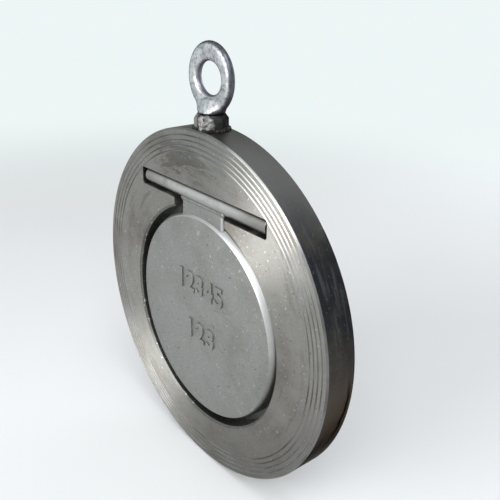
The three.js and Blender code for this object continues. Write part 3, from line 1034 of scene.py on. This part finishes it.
dull = Finish("dull_nut", metallic=1.0, specular_tint=(0.1, 0.1, 0.1, 1))
dull_place = dull.place()
dull_x, _, _ = dull.parts_of(dull_place)
dull_cloud = dull.grain(dull_place, 160, detail=4.0)
dull_grain = dull.grain(dull_place, 900, detail=2.0)
# Painted shade: the nut's dark tone stands in for the shade on it.
nut_shaded_tone = dull.mixed(dull.step(dull_cloud, 0.35, 0.65), (0.03, 0.029, 0.03), (0.055, 0.053, 0.052))
# Painted light: the nut is painted lighter on its left.
painted_lit_left = dull.step(dull_x, 0.0, -0.003)
nut.data.materials.append(dull.finished(
    base_color=dull.mixed(painted_lit_left * 0.8, nut_shaded_tone, (0.31, 0.305, 0.295)),
    roughness=0.56 + 0.2 * dull_cloud,
    normal=dull.relief(dull_grain + 2 * dull_cloud, 0.08),
))
smooth_shaded(nut)
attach(nut, "body_ring")
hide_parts("eye_nut")

# Welds at the nut's foot
#
# A fillet weld on each side ties the nut to the rim, laid in short overlapping lumps. Some weld metal
# has run over the nut's front flat and down to the edge of the ring.
weld_lumps = 9
weld_radius = 2.1
weld_height = 0.62 * weld_radius
weld_inset = 0.6
weld_starts, weld_ends = 12, 168
run_sunk = 0.9
# Painted shade: the welds at the nut's foot take a near-black tone for the shade there.
nut_weld_shaded_finish = weld_finish(
    "nut_weld", bright=(0.04, 0.038, 0.037), dark=(0.024, 0.022, 0.021),
    roughness=0.68, ripple_depth=0.06,
)
front_weld_finish = weld_finish(
    "front_weld", bright=(0.28, 0.273, 0.265), dark=(0.15, 0.146, 0.14),
    roughness=0.46, ripple_depth=0.08,
)


def inside_the_faces(along, radius):
    """Keeps a lump between the ring's two faces."""
    reach = ring_thickness / 2 - 1.2 * radius
    return max(-reach, min(reach, along))


for side, name in ((-1, "nut_weld_left"), (1, "nut_weld_right")):
    lumps = []
    for i in range(weld_lumps):
        share = i / (weld_lumps - 1)
        turn = math.radians(side * (weld_starts + (weld_ends - weld_starts) * share))
        across = (nut_corner - weld_inset) * math.sin(turn)
        along = inside_the_faces(-(nut_corner - weld_inset) * math.cos(turn), weld_radius)
        size = (weld_radius, weld_radius, weld_height)
        bead = lump(f"{name}_{i}", size, unevenness=0.35, seed=3 * i + side)
        lumps.append(moved(bead, across, along, nut_bottom))
    bead = fused(joined(lumps[0], lumps[1:]), voxel=0.35, smoothing=6)
    bead.name = name + "_bead"
    bead.data.materials.append(nut_weld_shaded_finish)
    smooth_shaded(bead, sharpest=60)
    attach(bead, "body_ring")
    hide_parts(name)

run_lumps = []
flat_normal = Vector((0.5, -math.sqrt(0.75), 0))
flat_across = Vector((math.sqrt(0.75), 0.5, 0))
# Each lump's place across the flat, its height above the nut's foot, and its radius.
run_path = (
    (-2.4, 5.6, 2.3), (0.9, 6.2, 2.2), (3.0, 5.2, 2.0),
    (-2.9, 2.9, 2.4), (0.2, 3.3, 2.9), (3.2, 2.6, 2.3),
    (-2.0, 0.3, 2.3), (1.4, 0.2, 2.7), (0.4, -1.2, 2.0), (3.6, -0.4, 2.0),
    (2.0, -1.2, 1.5), (4.2, -1.0, 1.4), (6.0, -1.0, 1.2),
)
for i, (across, height, radius) in enumerate(run_path):
    middle = (nut_flats / 2 - run_sunk) * flat_normal + across * flat_across
    bead = lump(f"run_{i}", (radius, radius, radius), unevenness=0.35, seed=7 * i)
    along = inside_the_faces(middle.y, radius)
    run_lumps.append(moved(bead, middle.x, along, nut_bottom + height))
run = fused(joined(run_lumps[0], run_lumps[1:]), voxel=0.3, smoothing=14)
run.name = "nut_weld_run"
run.data.materials.append(front_weld_finish)
smooth_shaded(run, sharpest=60)
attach(run, "body_ring")

# Eye bolt
#
# Drop forged in one piece, with a round eye, a neck that flares on to the nut and a threaded shank, and
# then zinc plated. The skin is bright, with duller patches and faint scale marks.
eye_low, eye_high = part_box("eye_bolt")
eye_radius = (eye_high.x - eye_low.x) / 2 / MM
eye_middle = eye_high.z / MM - eye_radius
eye_hole_across = 10.5
eye_hole_up = 8.85
eye_blade = 2.8
eye_squareness = 2.4
eye_sections = 96
neck_above_nut = 0.3
neck_in_ring = 2
neck_foot_radius = 7.7
neck_top_width = 15.5
neck_top_depth = 3.6
neck_steps = 16
neck_sides = 48
eye_shank_radius = 5.0
eye_shank_chamfer = 0.6
eye_shank_in_neck = 1


def eye_section(turn, steps=24):
    """One section of the eye's ring: a rounded bar between the hole and the outside."""
    hole = 1 / math.hypot(math.cos(turn) / eye_hole_across, math.sin(turn) / eye_hole_up)
    middle, half = (eye_radius + hole) / 2, (eye_radius - hole) / 2
    section = []
    for i in range(steps):
        around = 2 * math.pi * i / steps
        bulge = abs(math.cos(around)) ** eye_squareness + abs(math.sin(around)) ** eye_squareness
        bulge = bulge ** (-1 / eye_squareness)
        reach = middle + half * bulge * math.cos(around)
        depth = eye_blade * bulge * math.sin(around)
        section.append((reach * math.cos(turn), depth, eye_middle + reach * math.sin(turn)))
    return section


eye_turns = [2 * math.pi * i / eye_sections for i in range(eye_sections)]
eye = lofted("eye_bolt_forged", [eye_section(turn) for turn in eye_turns], closed=True)
neck_bottom = nut_top + neck_above_nut
neck_rings = []
for i in range(neck_steps + 1):
    rise = i / neck_steps
    height = neck_bottom + rise * (eye_middle - eye_hole_up - neck_in_ring - neck_bottom)
    flare = (1 - rise) ** 1.6
    half_depth = neck_top_depth + (neck_foot_radius - neck_top_depth) * flare
    half_width = neck_foot_radius + (neck_top_width - neck_foot_radius) * rise ** 0.7
    turns = [2 * math.pi * j / neck_sides for j in range(neck_sides)]
    neck_rings.append([(half_width * math.cos(t), half_depth * math.sin(t), height) for t in turns])
neck = lofted("neck", neck_rings)
combined(eye, "UNION", [neck])
fused(eye, voxel=0.5, smoothing=16)
shank_end = eye_low.z / MM
shank = turned_rod("shank", [
    (eye_shank_radius - eye_shank_chamfer, shank_end),
    (eye_shank_radius, shank_end + eye_shank_chamfer),
    (eye_shank_radius, neck_bottom + eye_shank_in_neck),
], sides=48)
joined(eye, [shank])

zinc = Finish("zinc_plate", metallic=1.0, specular_tint=(0.35, 0.35, 0.40, 1))
zinc_place = zinc.place()
zinc_x, _, zinc_z = zinc.parts_of(zinc_place)
zinc_up = zinc_z - eye_middle * MM
from_eye = (zinc_x * zinc_x + zinc_up * zinc_up) ** 0.5
from_hole = ((zinc_x / eye_hole_across) ** 2.0 + (zinc_up / eye_hole_up) ** 2.0) ** 0.5
zinc_cloud = zinc.grain(zinc_place, 150, detail=3.0)
zinc_patch = zinc.grain(zinc_place, 420, detail=4.0, roughness=0.65)
# Painted shade: the zinc is painted dark blue-grey in and round the eye's hole.
hole_shade = zinc.step(from_hole / MM + 0.25 * zinc_patch, 1.32, 1.12)
# Painted shade: the eye is painted near black in a band along its outer edge.
eye_edge_shade_inner, eye_edge_shade_outer = (eye_radius - 1.7) * MM, (eye_radius - 0.2) * MM
eye_edge_shade = zinc.step(from_eye + 0.001 * zinc_patch, eye_edge_shade_inner, eye_edge_shade_outer)
zinc_tone = zinc.mixed(zinc.step(zinc_cloud, 0.35, 0.65), (0.64, 0.65, 0.66), (0.42, 0.425, 0.44))
zinc_tone = zinc.mixed(zinc.step(zinc_patch, 0.47, 0.64) * 0.65, zinc_tone, (0.18, 0.18, 0.18))
zinc_tone = zinc.mixed(hole_shade * 0.8, zinc_tone, (0.09, 0.085, 0.12))
eye.data.materials.append(zinc.finished(
    base_color=zinc.mixed(eye_edge_shade * 0.85, zinc_tone, (0.035, 0.035, 0.05)),
    roughness=0.27 + 0.2 * zinc_cloud,
    normal=zinc.relief(zinc_patch, 0.08),
))
smooth_shaded(eye, sharpest=60)
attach(eye, "body_ring")
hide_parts("eye_bolt")

# Floor, light and camera
#
# A pale floor that fades into a pale backdrop, which the camera and the metal both see. Four soft
# lamps stand round the valve, and the camera looks down on its outlet side from the right.
backdrop = (0.85, 0.92, 0.92)
floor_height = cad_low[2]
floor_reach = 4.0
floor_shape = bmesh.new()
bmesh.ops.create_circle(floor_shape, cap_ends=True, segments=96, radius=floor_reach / MM)
floor = in_metres("floor", floor_shape)
floor.location = (0, 0, floor_height)
floor_finish = Finish("pale_floor", metallic=0.0, roughness=0.8, specular_ior_level=0.2)
floor_place = floor_finish.place()
floor_x, floor_y, _ = floor_finish.parts_of(floor_place)
distance = (floor_x * floor_x + floor_y * floor_y) ** 0.5
floor_grain = floor_finish.grain(floor_place, 6)
floor_pale = floor_finish.mixed(floor_grain, (0.76, 0.78, 0.79), (0.80, 0.82, 0.83))
floor.data.materials.append(floor_finish.finished(base_color=floor_pale))
glow = floor_finish.node("ShaderNodeEmission", {}, {"Color": backdrop, "Strength": 1.0})
painted = Signal(floor_finish, floor_finish.surface.outputs["BSDF"])
fade = floor_finish.step(distance, 0.35, 1.1) * floor_finish.shown_background()
blend = floor_finish.node("ShaderNodeMixShader", {}, {0: fade, 1: painted, 2: glow})
floor_finish.feed(floor_finish.tree.nodes["Material Output"].inputs["Surface"], blend)

world = bpy.data.worlds.new("studio")
bpy.context.scene.world = world
room = Finish("studio", owner=world)
background = room.tree.nodes["Background"]
room_light = (0.42, 0.42, 0.42)
room_seen = room.mixed(room.shown_background(), room_light, backdrop)
room.feed(background.inputs["Color"], room_seen)
background.inputs["Strength"].default_value = 1.0


def soft_lamp(name, direction, distance, size, power, colour=(1, 1, 1)):
    """A square lamp in a direction from the valve's middle, aimed at it."""
    light = bpy.data.lights.new(name, "AREA")
    light.shape = "SQUARE"
    light.size = size
    light.energy = power
    light.color = colour
    lamp = bpy.data.objects.new(name, light)
    bpy.context.scene.collection.objects.link(lamp)
    towards = Vector(direction).normalized()
    lamp.location = distance * towards
    lamp.rotation_euler = towards.to_track_quat("Z", "Y").to_euler()


cool = (0.96, 0.98, 1.0)
pale_cool = (0.97, 0.98, 1.0)
soft_lamp("key_lamp", (-0.04, -0.93, 0.36), distance=1.3, size=0.85, power=12.5)
soft_lamp("sky_lamp", (0.52, -0.40, 0.68), distance=1.2, size=0.8, power=7.0, colour=cool)
soft_lamp("top_lamp", (0.42, -0.10, 0.90), distance=1.2, size=0.45, power=2.4, colour=pale_cool)
soft_lamp("rear_lamp", (-0.05, 0.96, 0.22), distance=1.3, size=0.85, power=6.8, colour=cool)

camera_place = Vector((0.29356, -0.21310, 0.19314))
camera_back = Vector((0.70787, -0.58364, 0.39783))
camera_roll = math.radians(0.951)
level_right = Vector((0, 0, 1)).cross(camera_back).normalized()
level_up = camera_back.cross(level_right)
camera_right = math.cos(camera_roll) * level_right + math.sin(camera_roll) * level_up
camera_up = math.cos(camera_roll) * level_up - math.sin(camera_roll) * level_right
lens = bpy.data.cameras.new("camera")
lens.sensor_width = 36
lens.lens = 47.709
lens.clip_start = 0.01
camera = bpy.data.objects.new("camera", lens)
bpy.context.scene.collection.objects.link(camera)
axes = Matrix((camera_right, camera_up, camera_back.normalized())).transposed()
camera.matrix_world = Matrix.Translation(camera_place) @ axes.to_4x4()
bpy.context.scene.camera = camera
bpy.context.scene.view_settings.view_transform = "Standard"
